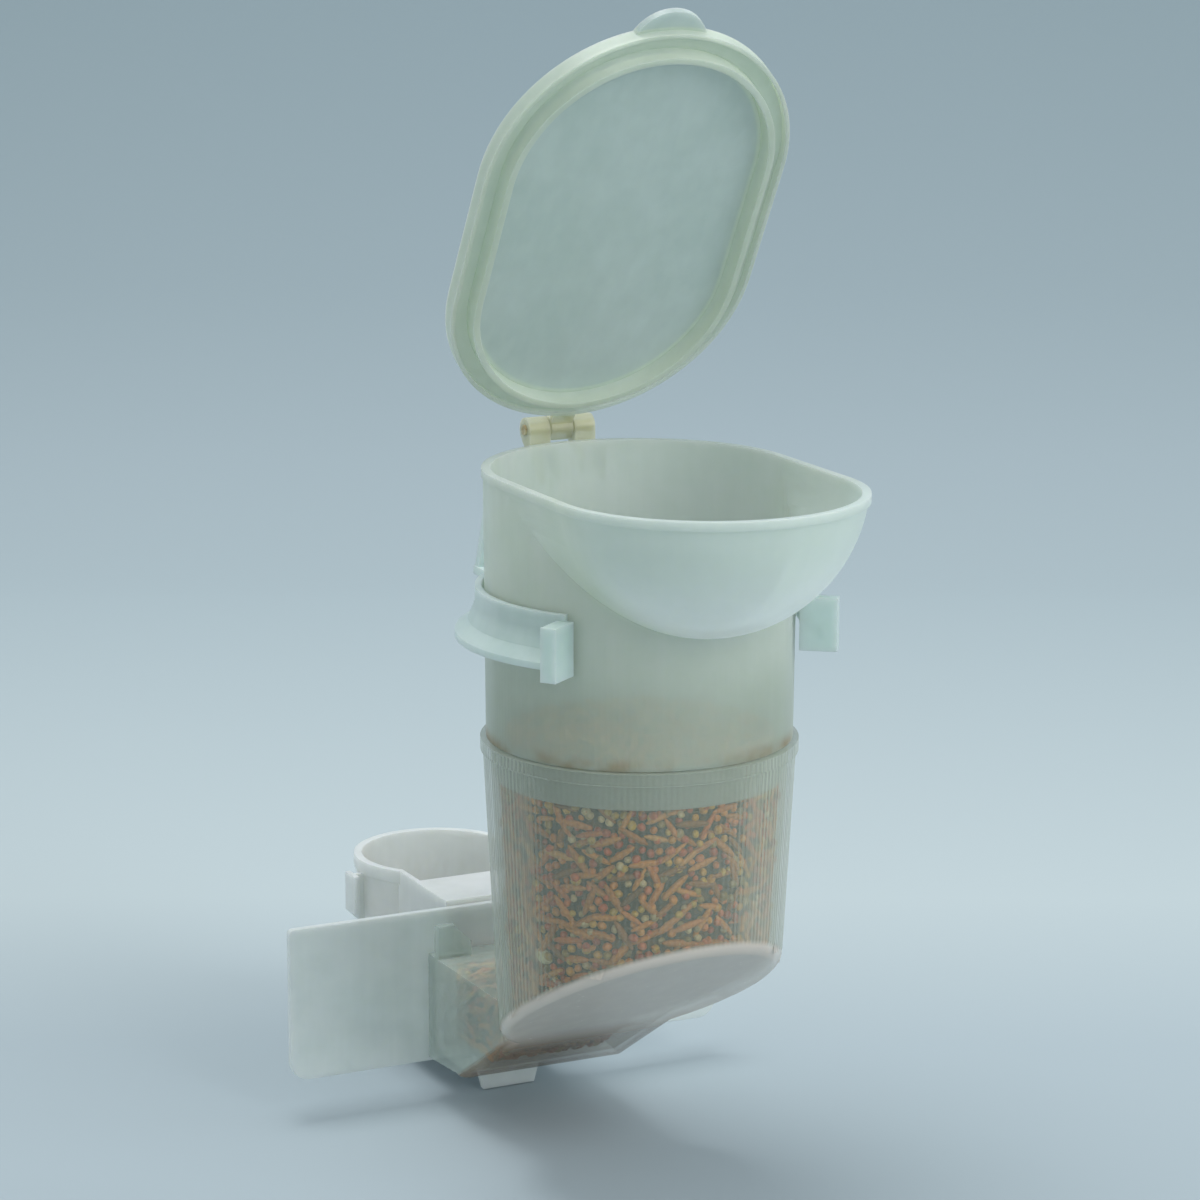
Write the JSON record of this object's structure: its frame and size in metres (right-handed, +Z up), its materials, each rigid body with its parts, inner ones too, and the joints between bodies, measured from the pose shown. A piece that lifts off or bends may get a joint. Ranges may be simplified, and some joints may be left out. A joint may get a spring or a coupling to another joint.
{
  "type": "seed cup",
  "caption": "Outside seed hopper for a wire bird cage, with a hinged lid over a scooped mouth, a lift-out tube, a base cup and a round feed tray.",
  "frame": {"origin": "on the axis of the cage door's lower rail, where the base cup's lugs hook over it, halfway across the cup", "axes": "+Z up along the hopper tube, +Y from the hopper into the cage, +X along the cage panel"},
  "size_m": [0.092, 0.1609, 0.2149],
  "materials": {
    "hopper_plastic": "translucent, satin",
    "lid_plastic": "translucent, satin",
    "pin_plastic": "aged, satin",
    "clip_plastic": "translucent, satin",
    "cup_plastic": "clear with fine flutes",
    "plate_plastic": "translucent, matt",
    "tray_plastic": "translucent, satin",
    "seed": "mixed grain"
  },
  "bodies": {
    "base": {"base_cup": "cup_plastic", "door_plate": "plate_plastic", "feed_tray": "tray_plastic", "cup_seed": "seed", "tray_seed": "seed"},
    "hopper": {"hopper": "hopper_plastic", "hinge_pin": "pin_plastic"},
    "lid": {"lid": "lid_plastic"},
    "clip": {"cage_clip": "clip_plastic"}
  },
  "joints": [
    {"name": "hopper_lift", "type": "slide", "parent": "base", "child": "hopper", "axis": [0, 0, 1], "range_m": [0, 0.012]},
    {"name": "lid_hinge", "type": "hinge", "parent": "hopper", "child": "lid", "pos_m": [0, -0.0205, 0.104], "axis": [-1, 0, 0], "range_deg": [-60, 60]},
    {"name": "clip_slide", "type": "slide", "parent": "hopper", "child": "clip", "axis": [0, 0, 1], "range_m": [-0.016, 0.005]}
  ]
}
